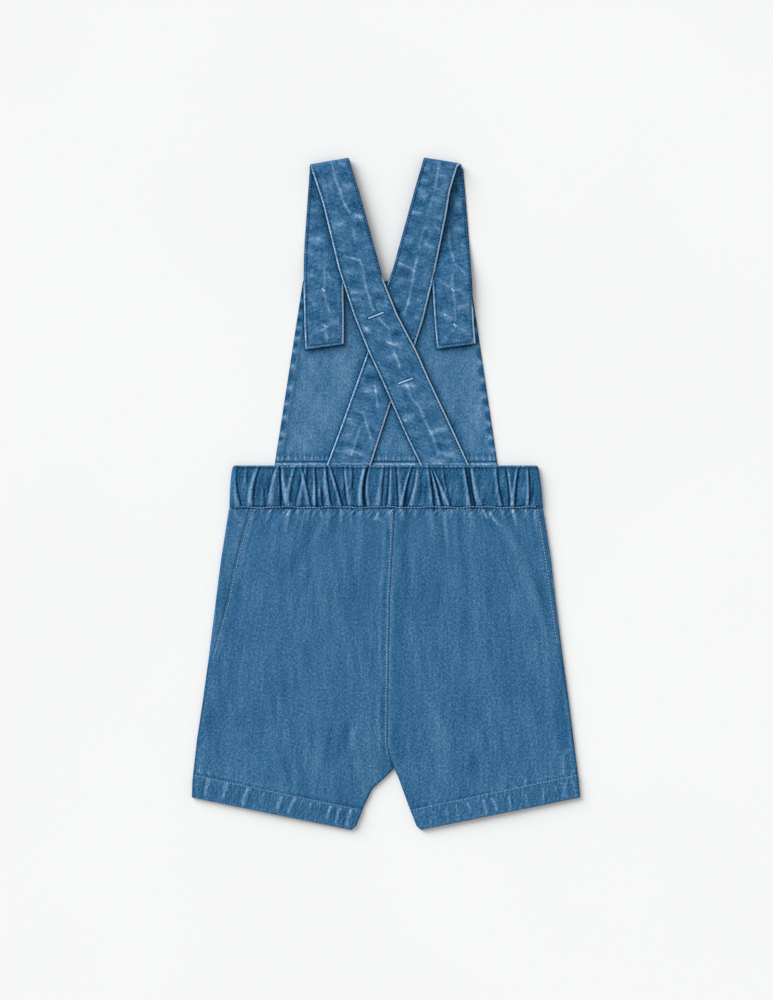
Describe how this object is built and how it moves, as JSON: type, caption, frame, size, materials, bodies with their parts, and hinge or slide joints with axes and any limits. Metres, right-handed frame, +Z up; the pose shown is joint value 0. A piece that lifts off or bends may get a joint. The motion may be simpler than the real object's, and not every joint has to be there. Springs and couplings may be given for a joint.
{
  "type": "kids dungarees",
  "caption": "Kids' short blue denim dungarees laid flat, back up: bib, crossed straps buttoned to it, gathered back waistband, short legs with turned hems.",
  "frame": {"origin": "middle of the outline, on the surface that the garment lies on", "axes": "+Y runs from the hems to the tops of the straps, +Z up off the surface, -X is the wearer's left"},
  "size_m": [0.388, 0.6712, 0.0099],
  "materials": {
    "denim_body": "matt, washed",
    "denim_bib": "matt, washed, inside face",
    "denim_strap": "matt, washed with pale edges",
    "denim_band": "matt, washed with pale gathers",
    "button_resin": "semi-gloss"
  },
  "bodies": {
    "root": {"front_leg_left": "denim_body", "front_leg_right": "denim_body", "back_leg_left": "denim_body", "back_leg_right": "denim_body", "waistband_front": "denim_band", "waistband_back": "denim_band", "bib": "denim_bib", "strap_left": "denim_strap", "strap_right": "denim_strap", "button_left_upper": "button_resin", "button_left_lower": "button_resin", "button_right_upper": "button_resin", "button_right_lower": "button_resin"}
  },
  "joints": []
}
